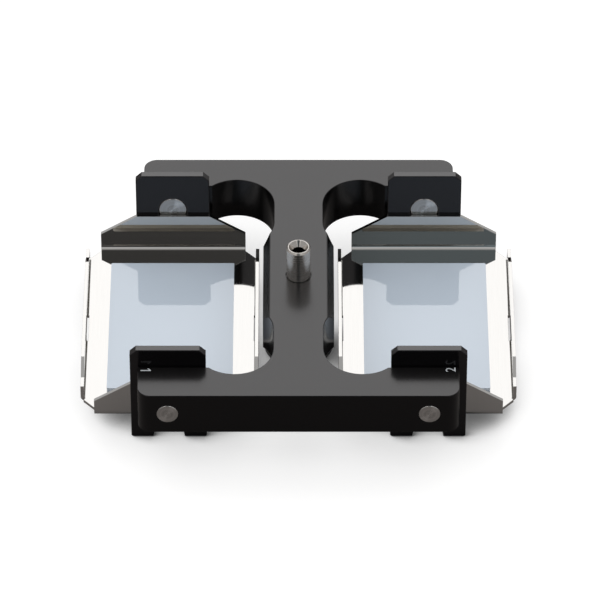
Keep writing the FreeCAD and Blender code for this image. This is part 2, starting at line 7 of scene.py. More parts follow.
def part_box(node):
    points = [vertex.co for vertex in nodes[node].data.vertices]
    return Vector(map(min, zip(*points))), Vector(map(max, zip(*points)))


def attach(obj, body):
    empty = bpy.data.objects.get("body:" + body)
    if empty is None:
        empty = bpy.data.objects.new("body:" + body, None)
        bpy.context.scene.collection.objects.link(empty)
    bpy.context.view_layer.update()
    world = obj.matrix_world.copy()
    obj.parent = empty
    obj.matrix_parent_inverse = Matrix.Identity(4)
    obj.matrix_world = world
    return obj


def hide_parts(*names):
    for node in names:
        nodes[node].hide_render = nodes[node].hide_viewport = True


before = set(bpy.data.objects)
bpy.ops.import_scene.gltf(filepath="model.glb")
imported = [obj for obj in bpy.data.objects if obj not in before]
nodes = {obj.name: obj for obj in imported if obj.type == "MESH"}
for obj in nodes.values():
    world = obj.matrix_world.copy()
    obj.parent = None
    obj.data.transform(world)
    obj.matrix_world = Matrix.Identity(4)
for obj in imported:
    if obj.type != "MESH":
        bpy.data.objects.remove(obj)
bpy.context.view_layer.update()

# microplate swing-out rotor: metres, +Z up, swing axes along Y
mm = 0.001


# node helpers

def addNode(tree, kind, settings=None, inputs=None):
    node = tree.nodes.new(kind)
    for field, value in (settings or {}).items():
        setattr(node, field, value)
    for socket, value in (inputs or {}).items():
        if isinstance(value, bpy.types.NodeSocket):
            tree.links.new(value, node.inputs[socket])
        else:
            node.inputs[socket].default_value = value
    return node


def mathNode(tree, operation, first, second=0.0, third=0.0, clamp=False):
    settings = {"operation": operation, "use_clamp": clamp}
    return addNode(tree, "ShaderNodeMath", settings, {0: first, 1: second, 2: third}).outputs[0]


def remap(tree, value, low, high, toLow=0.0, toHigh=1.0, smooth=False):
    settings = {"interpolation_type": "SMOOTHSTEP" if smooth else "LINEAR"}
    return addNode(tree, "ShaderNodeMapRange", settings, {
        "Value": value, "From Min": low, "From Max": high, "To Min": toLow, "To Max": toHigh}).outputs[0]


def mixColor(tree, factor, first, second):
    return addNode(tree, "ShaderNodeMix", {"data_type": "RGBA"}, {0: factor, 6: first, 7: second}).outputs[2]


def splitVector(tree, vector):
    return addNode(tree, "ShaderNodeSeparateXYZ", None, {0: vector}).outputs


def joinVector(tree, x, y, z):
    return addNode(tree, "ShaderNodeCombineXYZ", None, {0: x, 1: y, 2: z}).outputs[0]


def newMaterial(name):
    material = bpy.data.materials.new(name)
    material.use_nodes = True
    material.node_tree.nodes.clear()
    return material


def newShaderGroup(name, inputs, outputs):
    group = bpy.data.node_groups.new(name, "ShaderNodeTree")
    for label, kind, value in inputs:
        socket = group.interface.new_socket(name=label, in_out="INPUT", socket_type=kind)
        if value is not None:
            socket.default_value = value
    for label, kind in outputs:
        group.interface.new_socket(name=label, in_out="OUTPUT", socket_type=kind)
    return group, group.nodes.new("NodeGroupInput").outputs, group.nodes.new("NodeGroupOutput").inputs


def placeGroup(tree, group, inputs):
    return addNode(tree, "ShaderNodeGroup", {"node_tree": group}, inputs).outputs


def objectPoint(tree, centre=(0, 0, 0)):
    point = addNode(tree, "ShaderNodeTexCoord").outputs["Object"]
    return addNode(tree, "ShaderNodeMapping", None, {
        "Vector": point, "Location": [-value for value in centre]}).outputs[0]


# effects shared by several finishes

grainNoise = {"grainDetail": 2.0, "cloudDetail": 4.0, "cloudRoughness": 0.6, "low": 0.35, "high": 0.65}
strokeNoise = {"detail": 3.0, "roughness": 0.65, "rough": (0.35, 0.65), "tone": (0.3, 0.7)}
softEdge = {"samples": 6, "maskFrom": 0.995, "maskFull": 0.86}


def makeGrain():
    group, given, result = newShaderGroup("fineGrain", [
        ("Point", "NodeSocketVector", None),
        ("Grain per metre", "NodeSocketFloat", 3000.0),
        ("Cloud per metre", "NodeSocketFloat", 60.0),
        ("Rough low", "NodeSocketFloat", 0.3),
        ("Rough high", "NodeSocketFloat", 0.4),
    ], [("Roughness", "NodeSocketFloat"), ("Cloud", "NodeSocketFloat"), ("Height", "NodeSocketFloat")])
    grain = addNode(group, "ShaderNodeTexNoise", None, {
        "Vector": given["Point"], "Scale": given["Grain per metre"],
        "Detail": grainNoise["grainDetail"]}).outputs[0]
    cloud = addNode(group, "ShaderNodeTexNoise", None, {
        "Vector": given["Point"], "Scale": given["Cloud per metre"], "Detail": grainNoise["cloudDetail"],
        "Roughness": grainNoise["cloudRoughness"]}).outputs[0]
    mean = mathNode(group, "MULTIPLY", mathNode(group, "ADD", grain, cloud), 0.5)
    rough = remap(group, mean, grainNoise["low"], grainNoise["high"], given["Rough low"], given["Rough high"])
    group.links.new(rough, result["Roughness"])
    group.links.new(cloud, result["Cloud"])
    group.links.new(grain, result["Height"])
    return group


def makeStrokes():
    group, given, result = newShaderGroup("brushStrokes", [
        ("Point", "NodeSocketVector", None),
        ("Strokes per metre", "NodeSocketFloat", 900.0),
        ("Rough low", "NodeSocketFloat", 0.05),
        ("Rough high", "NodeSocketFloat", 0.12),
    ], [("Roughness", "NodeSocketFloat"), ("Tone", "NodeSocketFloat"), ("Height", "NodeSocketFloat")])
    strokes = addNode(group, "ShaderNodeTexNoise", None, {
        "Vector": given["Point"], "Scale": given["Strokes per metre"], "Detail": strokeNoise["detail"],
        "Roughness": strokeNoise["roughness"]}).outputs[0]
    rough = remap(group, strokes, *strokeNoise["rough"], given["Rough low"], given["Rough high"])
    group.links.new(rough, result["Roughness"])
    group.links.new(remap(group, strokes, *strokeNoise["tone"]), result["Tone"])
    group.links.new(strokes, result["Height"])
    return group


def makeEdgeRub():
    # painted highlight mask and softened normal along sharp edges
    group, given, result = newShaderGroup("edgeHighlight", [
        ("Radius", "NodeSocketFloat", 0.0004),
        ("Strength", "NodeSocketFloat", 1.0),
    ], [("Mask", "NodeSocketFloat"), ("Normal", "NodeSocketVector")])
    soft = addNode(group, "ShaderNodeBevel", {"samples": softEdge["samples"]}, {
        "Radius": given["Radius"]}).outputs[0]
    flat = addNode(group, "ShaderNodeNewGeometry").outputs["Normal"]
    match = addNode(group, "ShaderNodeVectorMath", {"operation": "DOT_PRODUCT"}, {0: soft, 1: flat})
    mask = remap(group, match.outputs["Value"], softEdge["maskFrom"], softEdge["maskFull"], 0.0,
                 given["Strength"])
    group.links.new(mask, result["Mask"])
    group.links.new(soft, result["Normal"])
    return group


fineGrain = makeGrain()
brushStrokes = makeStrokes()
edgeHighlight = makeEdgeRub()
print("effects ready")


def placeGrain(tree, look):
    low, high = look["rough"]
    return placeGroup(tree, fineGrain, {
        "Point": objectPoint(tree), "Grain per metre": look["grainPerMetre"],
        "Cloud per metre": look["cloudPerMetre"], "Rough low": low, "Rough high": high})


def closeMaterial(material, base, roughness, metallic, height, bump, normal=None, **fixed):
    # bump is (strength, distance); fixed are the shader's own sockets, one value all over the surface
    tree = material.node_tree
    shader = addNode(tree, "ShaderNodeBsdfPrincipled", None, {
        "Base Color": base, "Roughness": roughness, "Metallic": metallic})
    for socket, value in fixed.items():
        shader.inputs[socket].default_value = value
    relief = addNode(tree, "ShaderNodeBump", None, {
        "Strength": bump[0], "Distance": bump[1], "Height": height})
    if normal is not None:
        tree.links.new(normal, relief.inputs["Normal"])
    tree.links.new(relief.outputs[0], shader.inputs["Normal"])
    output = addNode(tree, "ShaderNodeOutputMaterial")
    tree.links.new(shader.outputs[0], output.inputs[0])
    return shader


# black anodised aluminium

anodised = {
    "black": (0.0060, 0.0058, 0.0060, 1), "cloud": (0.0085, 0.0080, 0.0082, 1),
    "edgeGlintColor": (0.030, 0.030, 0.030, 1), "edgeGlint": 0.5, "edge": 0.4 * mm, "rough": (0.19, 0.25),
    "grainPerMetre": 2600.0, "cloudPerMetre": 45.0, "bump": (0.12, 0.00002), "ior": 1.34,
    "sheen": (1.0, 0.97, 1.0, 1), "levelAbove": 0.8, "sideShadeKeep": 0.35, "coat": 0.80, "coatRough": 0.22,
}
plateBlack = dict(anodised, black=(0.0040, 0.0036, 0.0042, 1), cloud=(0.0052, 0.0048, 0.0054, 1),
                  edgeGlintColor=(0.055, 0.055, 0.056, 1), rough=(0.13, 0.18), grainPerMetre=3200.0, ior=1.43,
                  bump=(0.06, 0.00001), sideShadeKeep=1.0, coat=1.0, coatRough=0.15)


def anodisedMaterial(name, look):
    material = newMaterial(name)
    tree = material.node_tree
    grain = placeGrain(tree, look)
    edgeGlint = placeGroup(tree, edgeHighlight, {"Radius": look["edge"], "Strength": look["edgeGlint"]})
    base = mixColor(tree, grain["Cloud"], look["black"], look["cloud"])
    # painted highlight: the edges are pulled towards a paler grey
    base = mixColor(tree, edgeGlint["Mask"], base, look["edgeGlintColor"])

    # level faces carry a sealed film, and milled sides are bare; the sides' colour is also pulled towards
    # black, a painted shade
    facing = splitVector(tree, addNode(tree, "ShaderNodeTexCoord").outputs["Normal"])
    onSide = mathNode(tree, "LESS_THAN", mathNode(tree, "ABSOLUTE", facing[2]), look["levelAbove"])
    base = mixColor(tree, mathNode(tree, "MULTIPLY", onSide, 1.0 - look["sideShadeKeep"]), base, (0, 0, 0, 1))
    shader = closeMaterial(material, base, grain["Roughness"], 0.0, grain["Height"], look["bump"],
                           edgeGlint["Normal"], **{"IOR": look["ior"], "Specular Tint": look["sheen"],
                                             "Coat Roughness": look["coatRough"]})
    film = mathNode(tree, "MULTIPLY", mathNode(tree, "SUBTRACT", 1.0, onSide), look["coat"])
    tree.links.new(film, shader.inputs["Coat Weight"])
    return material


# polished stainless sheet, brushed along Y before it was folded

sheetSteel = {
    "light": (0.620, 0.612, 0.600, 1), "dark": (0.600, 0.592, 0.580, 1), "rough": (0.030, 0.050),
    "strokesPerMetre": 1500.0, "alongShare": 0.02, "wallAbove": 0.7, "edge": 0.25 * mm,
    "bump": (0.012, 0.00001),
}


def sheetMaterial(name, look):
    material = newMaterial(name)
    tree = material.node_tree
    coordinates = addNode(tree, "ShaderNodeTexCoord").outputs
    x, y, z = splitVector(tree, coordinates["Object"])[:3]
    facing = splitVector(tree, coordinates["Normal"])
    onWall = mathNode(tree, "GREATER_THAN", mathNode(tree, "ABSOLUTE", facing[0]), look["wallAbove"])
    across = addNode(tree, "ShaderNodeMix", None, {0: onWall, 2: x, 3: z}).outputs[0]
    along = mathNode(tree, "MULTIPLY", mathNode(tree, "ADD", y, z), look["alongShare"])
    strokes = placeGroup(tree, brushStrokes, {
        "Point": joinVector(tree, across, along, onWall), "Strokes per metre": look["strokesPerMetre"],
        "Rough low": look["rough"][0], "Rough high": look["rough"][1]})
    edgeGlint = placeGroup(tree, edgeHighlight, {"Radius": look["edge"]})
    base = mixColor(tree, strokes["Tone"], look["light"], look["dark"])
    closeMaterial(material, base, strokes["Roughness"], 1.0, strokes["Height"], look["bump"], edgeGlint["Normal"])
    return material


# glossy blue-grey pad with a pale core at its cut sides

padFilm = {
    "pale": (0.545, 0.62, 0.71, 1), "deep": (0.525, 0.60, 0.69, 1), "core": (0.62, 0.58, 0.50, 1),
    "rough": (0.025, 0.045), "ior": 1.85, "grainPerMetre": 900.0, "cloudPerMetre": 22.0,
    "bump": (0.015, 0.00001), "edgeBelow": 0.5, "frontBelow": -0.5,
}


def padMaterial(name, look):
    material = newMaterial(name)
    tree = material.node_tree
    grain = placeGrain(tree, look)
    facing = splitVector(tree, addNode(tree, "ShaderNodeTexCoord").outputs["Normal"])
    # the film is drawn over the front edge and cut off at the others
    onEdge = mathNode(tree, "LESS_THAN", mathNode(tree, "ABSOLUTE", facing[2]), look["edgeBelow"])
    notFront = mathNode(tree, "GREATER_THAN", facing[1], look["frontBelow"])
    onCut = mathNode(tree, "MULTIPLY", onEdge, notFront)
    base = mixColor(tree, grain["Cloud"], look["pale"], look["deep"])
    base = mixColor(tree, onCut, base, look["core"])
    closeMaterial(material, base, grain["Roughness"], 0.0, grain["Height"], look["bump"], IOR=look["ior"])
    return material


# turned steel: rings round an axis, and on end faces two lighter sectors, a painted highlight standing in for
# the light the facing cut's grooves throw

turnedSteel = {
    "light": (0.60, 0.585, 0.57, 1), "dark": (0.42, 0.41, 0.40, 1), "highlightColor": (0.72, 0.71, 0.70, 1),
    "ringsPerMetre": 1500.0, "rough": (0.18, 0.28), "anisotropy": 0.6, "grooveTurn": 0.25, "edge": 0.5 * mm,
    "edgeGlint": 0.8, "bump": (0.10, 0.00002), "highlightAngle": 52.0, "highlightShare": 0.6, "highlightFrom": 0.35,
    "highlightPatchPerMetre": 420.0, "highlightPatchDetail": 3.0, "polishedInside": 0.0, "polish": 0.82,
}
# the back pins are the front pins' steel made darker, a painted shade
backPinShaded = dict(turnedSteel, light=(0.48, 0.46, 0.445, 1), dark=(0.34, 0.33, 0.32, 1))
sleeveSteel = dict(turnedSteel, light=(0.52, 0.495, 0.47, 1), dark=(0.46, 0.435, 0.41, 1),
                   highlightColor=(0.96, 0.95, 0.93, 1), rough=(0.23, 0.28), anisotropy=0.9, edge=0.3 * mm,
                   bump=(0.02, 0.00001), highlightShare=0.0, polishedInside=6.7 * mm)
hubSteel = dict(turnedSteel, light=(0.70, 0.70, 0.71, 1), dark=(0.60, 0.60, 0.61, 1), rough=(0.25, 0.35),
                highlightShare=0.0, anisotropy=0.5)


def turnedMaterial(name, look, axis, centre):
    material = newMaterial(name)
    tree = material.node_tree
    point = objectPoint(tree, centre)
    parts = splitVector(tree, point)
    across = [parts[index] for index in range(3) if "XYZ"[index] != axis]
    along = parts["XYZ".index(axis)]
    squares = [mathNode(tree, "POWER", part, 2.0) for part in across]
    radius = mathNode(tree, "SQRT", mathNode(tree, "ADD", squares[0], squares[1]))
    rings = placeGroup(tree, brushStrokes, {
        "Point": joinVector(tree, radius, along, 0.0), "Strokes per metre": look["ringsPerMetre"],
        "Rough low": look["rough"][0], "Rough high": look["rough"][1]})
    base = mixColor(tree, rings["Tone"], look["light"], look["dark"])
    # painted highlight: two lighter sectors on the end faces, broken into patches by noise
    if look["highlightShare"]:
        angle = mathNode(tree, "ARCTAN2", across[1], across[0])
        swing = mathNode(tree, "COSINE", mathNode(
            tree, "MULTIPLY", mathNode(tree, "SUBTRACT", angle, math.radians(look["highlightAngle"])), 2.0))
        highlightPatch = addNode(tree, "ShaderNodeTexNoise", None, {
            "Vector": point, "Scale": look["highlightPatchPerMetre"], "Detail": look["highlightPatchDetail"]}).outputs[0]
        fan = remap(tree, swing, look["highlightFrom"], 1.0, 0.0, look["highlightShare"] * 2, True)
        base = mixColor(tree, mathNode(tree, "MULTIPLY", fan, highlightPatch), base, look["highlightColor"])
    # painted highlight: the edges are pulled towards the same pale steel colour as the painted sectors
    edgeGlint = placeGroup(tree, edgeHighlight, {"Radius": look["edge"], "Strength": look["edgeGlint"]})
    base = mixColor(tree, edgeGlint["Mask"], base, look["highlightColor"])
    rough = rings["Roughness"]
    if look["polishedInside"]:
        inside = mathNode(tree, "LESS_THAN", radius, look["polishedInside"])
        share = mathNode(tree, "MULTIPLY_ADD", inside, -look["polish"], 1.0)
        rough = mathNode(tree, "MULTIPLY", rough, share)
    shader = closeMaterial(material, base, rough, 1.0, rings["Height"], look["bump"], edgeGlint["Normal"],
                           **{"Anisotropic": look["anisotropy"], "Anisotropic Rotation": look["grooveTurn"]})
    tangent = addNode(tree, "ShaderNodeTangent", {"direction_type": "RADIAL", "axis": axis})
    tree.links.new(tangent.outputs[0], shader.inputs["Tangent"])
    return material


def wear(node, material):
    target = nodes[node]
    target.data.materials.clear()
    target.data.materials.append(material)


def middle(node):
    low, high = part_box(node)
    return (low + high) / 2


def dressFrame():
    wear("rotor_body", anodisedMaterial("blackAnodised", anodised))
    plate = anodisedMaterial("blackPlate", plateBlack)
    sheet = sheetMaterial("polishedSheet", sheetSteel)
    pad = padMaterial("padFilm", padFilm)
    for bucket in (1, 2):
        wear("bucket_%d_tray" % bucket, sheet)
        wear("bucket_%d_mat" % bucket, pad)
        for end in ("front", "back"):
            wear("bucket_%d_hanger_%s" % (bucket, end), plate)
            pin = "trunnion_pin_%d_%s" % (bucket, end)
            look = backPinShaded if end == "back" else turnedSteel
            wear(pin, turnedMaterial("turnedPin%d%s" % (bucket, end.title()), look, "Y", middle(pin)))
    wear("hub_sleeve", turnedMaterial("turnedSleeve", sleeveSteel, "Z", (0, 0, 0)))
    wear("drive_hub", turnedMaterial("turnedHub", hubSteel, "Z", (0, 0, 0)))
    print("frame dressed")


dressFrame()


# screws: a blank for each kind, threaded and set on its group's points by one node tree

screwSteel = {
    "light": (0.50, 0.50, 0.51, 1), "dark": (0.42, 0.42, 0.43, 1), "rough": (0.22, 0.32),
    "grainPerMetre": 5000.0, "cloudPerMetre": 500.0, "bump": (0.06, 0.00001),
}
screwShape = {
    "segments": 48,  # a multiple of six, so that the socket's corners fall on points
    "ringsPerTurn": 6, "threadShare": 0.55, "sharpAngle": 28.0, "shankSlack": 0.01 * mm,
}
socketTurn = math.tau / 6  # a hexagon looks the same after this turn

# rings from the socket's floor over the head: form, radius and height in millimetres
countersunk = {
    "head": 3.9 * mm, "rings": [("hex", 1.45, 1.6), ("hex", 1.45, 0.15), ("round", 1.78, 0.0),
                                ("round", 3.75, 0.0), ("round", 3.9, 0.12), ("round", 3.9, 0.3),
                                ("round", 2.0, 2.2)],
    "shank": 2.0 * mm, "pitch": 0.7 * mm, "threadFrom": 2.6 * mm, "tip": 0.35 * mm,
}
capScrew = {
    "head": 4.25 * mm, "rings": [("hex", 2.3, 2.5), ("hex", 2.3, 0.25), ("round", 2.85, 0.0),
                                 ("round", 3.85, 0.0), ("round", 4.25, 0.4), ("round", 4.25, 4.9),
                                 ("round", 4.15, 5.0), ("round", 2.5, 5.0)],
    "shank": 2.5 * mm, "pitch": 0.8 * mm, "threadFrom": 14.0 * mm, "tip": 0.5 * mm, "seed": 31,
}
lockScrew = {
    "head": 2.5 * mm, "rings": [("hex", 1.45, 4.1), ("hex", 1.45, 0.15), ("round", 1.8, 0.0),
                                ("round", 2.1, 0.0)],
    "shank": 2.5 * mm, "pitch": 0.8 * mm, "threadFrom": 0.4 * mm, "tip": 0.5 * mm, "seed": 32,
}


def screwMaterial(name, look):
    material = newMaterial(name)
    tree = material.node_tree
    grain = placeGrain(tree, look)
    base = mixColor(tree, grain["Cloud"], look["light"], look["dark"])
    closeMaterial(material, base, grain["Roughness"], 1.0, grain["Height"], look["bump"])
    return material


def blankRings(kind):
    # the head's rings and those down the shank, in metres
    rings = [(shape, radius * mm, height * mm) for shape, radius, height in kind["rings"]]
    step = kind["pitch"] / screwShape["ringsPerTurn"]
    height = kind["threadFrom"]
    end = kind["length"] - kind["tip"]
    while height < end:
        rings.append(("round", kind["shank"], height))
        height += step
    return rings + [("round", kind["shank"], end), ("round", kind["shank"] - kind["tip"], kind["length"])]


def makeBlank(name, kind):
    shape = bmesh.new()
    segments = screwShape["segments"]
    loops = []
    for form, radius, height in blankRings(kind):
        loop = []
        for step in range(segments):
            angle = math.tau * step / segments
            reach = radius
            if form == "hex":
                reach = radius / math.cos((angle + socketTurn / 2) % socketTurn - socketTurn / 2)
            loop.append(shape.verts.new((reach * math.cos(angle), reach * math.sin(angle), height)))
        loops.append(loop)
    for inner, outer in zip(loops, loops[1:]):
        for step in range(segments):
            after = (step + 1) % segments
            shape.faces.new((inner[step], inner[after], outer[after], outer[step]))
    for loop in (loops[0], loops[-1]):
        centre = shape.verts.new((0, 0, loop[0].co.z))
        for step in range(segments):
            shape.faces.new((loop[step], loop[(step + 1) % segments], centre))
    bmesh.ops.recalc_face_normals(shape, faces=shape.faces)
    mesh = bpy.data.meshes.new(name)
    shape.to_mesh(mesh)
    shape.free()
    mesh.polygons.foreach_set("use_smooth", [True] * len(mesh.polygons))
    mesh.set_sharp_from_angle(angle=math.radians(screwShape["sharpAngle"]))
    blank = bpy.data.objects.new(name, mesh)
    bpy.context.scene.collection.objects.link(blank)
    return blank


def makeScrewTree():
    tree = bpy.data.node_groups.new("threadedScrews", "GeometryNodeTree")
    for label, kind, value in (
            ("Geometry", "NodeSocketGeometry", None), ("Blank", "NodeSocketObject", None),
            ("Shank radius", "NodeSocketFloat", 0.002), ("Pitch", "NodeSocketFloat", 0.0007),
            ("Thread depth", "NodeSocketFloat", 0.0004), ("Thread from", "NodeSocketFloat", 0.0026),
            ("Tilt", "NodeSocketVector", None), ("Seed", "NodeSocketInt", 0),
            ("Steel", "NodeSocketMaterial", None)):
        socket = tree.interface.new_socket(name=label, in_out="INPUT", socket_type=kind)
        if value is not None:
            socket.default_value = value
    tree.interface.new_socket(name="Geometry", in_out="OUTPUT", socket_type="NodeSocketGeometry")
    given = tree.nodes.new("NodeGroupInput").outputs
    blank = addNode(tree, "GeometryNodeObjectInfo", None, {"Object": given["Blank"]}).outputs["Geometry"]

    # thread: the shank's points move inwards by a triangle wave that climbs one pitch each turn
    place = addNode(tree, "GeometryNodeInputPosition").outputs[0]
    x, y, z = splitVector(tree, place)[:3]
    turn = mathNode(tree, "DIVIDE", mathNode(tree, "ARCTAN2", y, x), math.tau)
    climb = mathNode(tree, "SUBTRACT", mathNode(tree, "DIVIDE", z, given["Pitch"]), turn)
    wave = mathNode(tree, "PINGPONG", mathNode(tree, "MULTIPLY", climb, 2.0), 1.0)
    outwards = addNode(tree, "ShaderNodeVectorMath", {"operation": "NORMALIZE"}, {
        0: joinVector(tree, x, y, 0.0)}).outputs[0]
    inwards = mathNode(tree, "MULTIPLY", mathNode(tree, "MULTIPLY", wave, given["Thread depth"]), -1.0)
    offset = addNode(tree, "ShaderNodeVectorMath", {"operation": "SCALE"}, {
        0: outwards, "Scale": inwards}).outputs[0]
    reach = mathNode(tree, "SQRT", mathNode(
        tree, "ADD", mathNode(tree, "MULTIPLY", x, x), mathNode(tree, "MULTIPLY", y, y)))
    onShank = mathNode(tree, "COMPARE", reach, given["Shank radius"], screwShape["shankSlack"])
    belowHead = mathNode(tree, "GREATER_THAN", z, given["Thread from"])
    cut = addNode(tree, "GeometryNodeSetPosition", None, {
        "Geometry": blank, "Selection": mathNode(tree, "MULTIPLY", onShank, belowHead), "Offset": offset})

    # each screw stops at its own angle
    angle = addNode(tree, "FunctionNodeRandomValue", {"data_type": "FLOAT"}, {
        "Max": socketTurn, "Seed": given["Seed"]}).outputs["Value"]
    tilt = addNode(tree, "FunctionNodeEulerToRotation", None, {0: given["Tilt"]}).outputs[0]
    spin = addNode(tree, "FunctionNodeEulerToRotation", None, {
        0: joinVector(tree, 0.0, 0.0, angle)}).outputs[0]
    both = addNode(tree, "FunctionNodeRotateRotation", {"rotation_space": "LOCAL"}, {
        0: tilt, 1: spin}).outputs[0]
    screws = addNode(tree, "GeometryNodeInstanceOnPoints", None, {
        "Points": given["Geometry"], "Instance": cut.outputs[0], "Rotation": both}).outputs[0]
    real = addNode(tree, "GeometryNodeRealizeInstances", None, {"Geometry": screws}).outputs[0]
    dressed = addNode(tree, "GeometryNodeSetMaterial", None, {"Geometry": real, "Material": given["Steel"]})
    output = tree.nodes.new("NodeGroupOutput")
    tree.links.new(dressed.outputs[0], output.inputs[0])
    return tree


def screwPlaces(node, kind, axis, start):
    # four places in a rectangle, a head's radius inside the group's box
    low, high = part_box(node)
    flat = [index for index in range(3) if index != axis]
    places = []
    for first in (low[flat[0]] + kind["head"], high[flat[0]] - kind["head"]):
        for second in (low[flat[1]] + kind["head"], high[flat[1]] - kind["head"]):
            place = Vector((0, 0, 0))
            place[flat[0]], place[flat[1]], place[axis] = first, second, start
            places.append(place)
    return places


def setScrews(node, body, kind, blank, tree, steel, axis, start, tilt, seed):
    mesh = bpy.data.meshes.new(node + "_places")
    mesh.from_pydata(screwPlaces(node, kind, axis, start), [], [])
    carrier = bpy.data.objects.new(node + "_places", mesh)
    bpy.context.scene.collection.objects.link(carrier)
    modifier = carrier.modifiers.new("screws", "NODES")
    modifier.node_group = tree
    values = {"Blank": blank, "Shank radius": kind["shank"], "Pitch": kind["pitch"],
              "Thread depth": kind["pitch"] * screwShape["threadShare"], "Thread from": kind["threadFrom"],
              "Tilt": tilt, "Seed": seed, "Steel": steel}
    for item in tree.interface.items_tree:
        if item.in_out == "INPUT" and item.name in values:
            modifier[item.identifier] = values[item.name]
    bpy.context.view_layer.update()
    graph = bpy.context.evaluated_depsgraph_get()
    done = bpy.data.meshes.new_from_object(carrier.evaluated_get(graph), depsgraph=graph)
    bpy.data.objects.remove(carrier)
    piece = bpy.data.objects.new(node + "_threaded", done)
    bpy.context.scene.collection.objects.link(piece)
    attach(piece, body)
    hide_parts(node)


def makeScrews():
    tree = makeScrewTree()
    steel = screwMaterial("screwSteel", screwSteel)
    for kind, node, axis in ((countersunk, "bucket_1_screws_front", 1), (capScrew, "hub_screws", 2),
                             (lockScrew, "pin_lock_screws", 2)):
        low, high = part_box(node)
        kind["length"] = high[axis] - low[axis]
    blanks = {name: makeBlank(name, kind) for name, kind in (
        ("countersunkBlank", countersunk), ("capBlank", capScrew), ("lockBlank", lockScrew))}
    for bucket in (1, 2):
        for end, side, lean in (("front", 0, -90), ("back", 1, 90)):
            node = "bucket_%d_screws_%s" % (bucket, end)
            setScrews(node, "bucket_%d" % bucket, countersunk, blanks["countersunkBlank"], tree, steel, 1,
                      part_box(node)[side].y, (math.radians(lean), 0, 0), 10 * bucket + side)
    for node, kind, blank in (("hub_screws", capScrew, "capBlank"),
                              ("pin_lock_screws", lockScrew, "lockBlank")):
        setScrews(node, "rotor", kind, blanks[blank], tree, steel, 2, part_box(node)[0].z, (0, 0, 0),
                  kind["seed"])
    for blank in blanks.values():
        bpy.data.objects.remove(blank)
    print("screws set")


makeScrews()


# bucket numbers printed on the front bar

numbers = {
    "height": 6.9 * mm, "capShare": 0.72, "fromAxis": 14.7 * mm, "fromBarEdge": 2.5 * mm, "barGap": 1.0 * mm,
    "film": 0.02 * mm, "ink": (0.70, 0.74, 0.77, 1), "worn": (0.58, 0.62, 0.65, 1), "rough": (0.45, 0.6),
    "grainPerMetre": 6000.0, "cloudPerMetre": 400.0, "bump": (0.1, 0.00001),
    # outline of the 1 with its flag, in millimetres from its middle
    "one": [(0.35, -3.45), (1.3, -3.45), (1.3, 3.45), (0.6, 3.45), (-1.2, 1.95), (-1.2, 0.85), (0.35, 2.15)],
}


def inkMaterial():
    material = newMaterial("whiteInk")
    tree = material.node_tree
    grain = placeGrain(tree, numbers)
    base = mixColor(tree, grain["Cloud"], numbers["ink"], numbers["worn"])
    closeMaterial(material, base, grain["Roughness"], 0.0, grain["Height"], numbers["bump"])
    return material


def oneMesh():
    # a flat film
    half = numbers["film"] / 2
    corners = [(x * mm, y * mm) for x, y in numbers["one"]]
    count = len(corners)
    points = [corner + (level,) for level in (-half, half) for corner in corners]
    faces = [tuple(range(count - 1, -1, -1)), tuple(range(count, 2 * count))]
    faces += [(step, (step + 1) % count, (step + 1) % count + count, step + count) for step in range(count)]
    mesh = bpy.data.meshes.new("numberOne")
    mesh.from_pydata(points, [], faces)
    return mesh


def textMesh(bucket):
    curve = bpy.data.curves.new("numberText%d" % bucket, "FONT")
    curve.body = str(bucket)
    curve.align_x = "CENTER"
    curve.align_y = "CENTER"
    curve.size = numbers["height"] / numbers["capShare"]
    curve.extrude = numbers["film"] / 2
    text = bpy.data.objects.new("numberText%d" % bucket, curve)
    bpy.context.scene.collection.objects.link(text)
    bpy.context.view_layer.update()
    graph = bpy.context.evaluated_depsgraph_get()
    mesh = bpy.data.meshes.new_from_object(text.evaluated_get(graph), depsgraph=graph)
    bpy.data.objects.remove(text)
    return mesh


def bucketNumber(bucket, ink):
    side = -1 if bucket == 1 else 1
    mesh = oneMesh() if bucket == 1 else textMesh(bucket)
    swingAxis = middle("bucket_%d_tray" % bucket).x
    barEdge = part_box("bucket_%d_hanger_front" % bucket)[0].y - numbers["barGap"]
    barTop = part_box("rotor_body")[1].z
    place = Vector((swingAxis + side * numbers["fromAxis"], barEdge - numbers["fromBarEdge"],
                    barTop + numbers["film"] / 2))
    turn = Matrix.Rotation(math.radians(90 * side), 4, "Z")  # the digit's top points to the rotor's middle
    mesh.transform(Matrix.Translation(place) @ turn)
    piece = bpy.data.objects.new("bucket_number_%d" % bucket, mesh)
    bpy.context.scene.collection.objects.link(piece)
    mesh.materials.clear()
    mesh.materials.append(ink)
    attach(piece, "rotor")


def printNumbers():
    ink = inkMaterial()
    for bucket in (1, 2):
        bucketNumber(bucket, ink)
    print("numbers printed")


printNumbers()


# floor, studio and camera

floorLook = {
    "half": 12.0, "paper": (0.5, 0.5, 0.5, 1), "paperLift": 0.65, "table": (0.105, 0.086, 0.076, 1),
    "mirrored": 0.105, "shadowReach": 30 * mm, "shadowLean": (-0.5, 0.35, 0.79), "shadowEdge": (0.30, 0.70),
    "shadowLevel": 0.05, "shadowSamples": 24,
}
studio = {
    "bank": 1.62, "bankColor": (1.0, 0.995, 0.99), "bankFrom": 20.0, "bankFull": 32.0, "cap": (64.0, 74.0),
    "capLevel": 0.42, "sideDrop": 0.15, "sideFrom": 0.3, "sideFull": 0.75, "lean": 0.18, "frontShare": 0.78,
    "frontFrom": -0.2, "frontFull": 0.3, "horizon": 0.55, "horizonFrom": 0.25, "horizonFull": 0.55,
    "gapHalf": 15.0, "gapSoft": 3.0, "gapEnds": (48.0, 86.0), "gapLeft": (0.066, 0.064, 0.062, 1),
    "gapRight": (0.17, 0.205, 0.22, 1), "gapTurn": (-0.01, 0.02), "mirrored": 0.02,
}
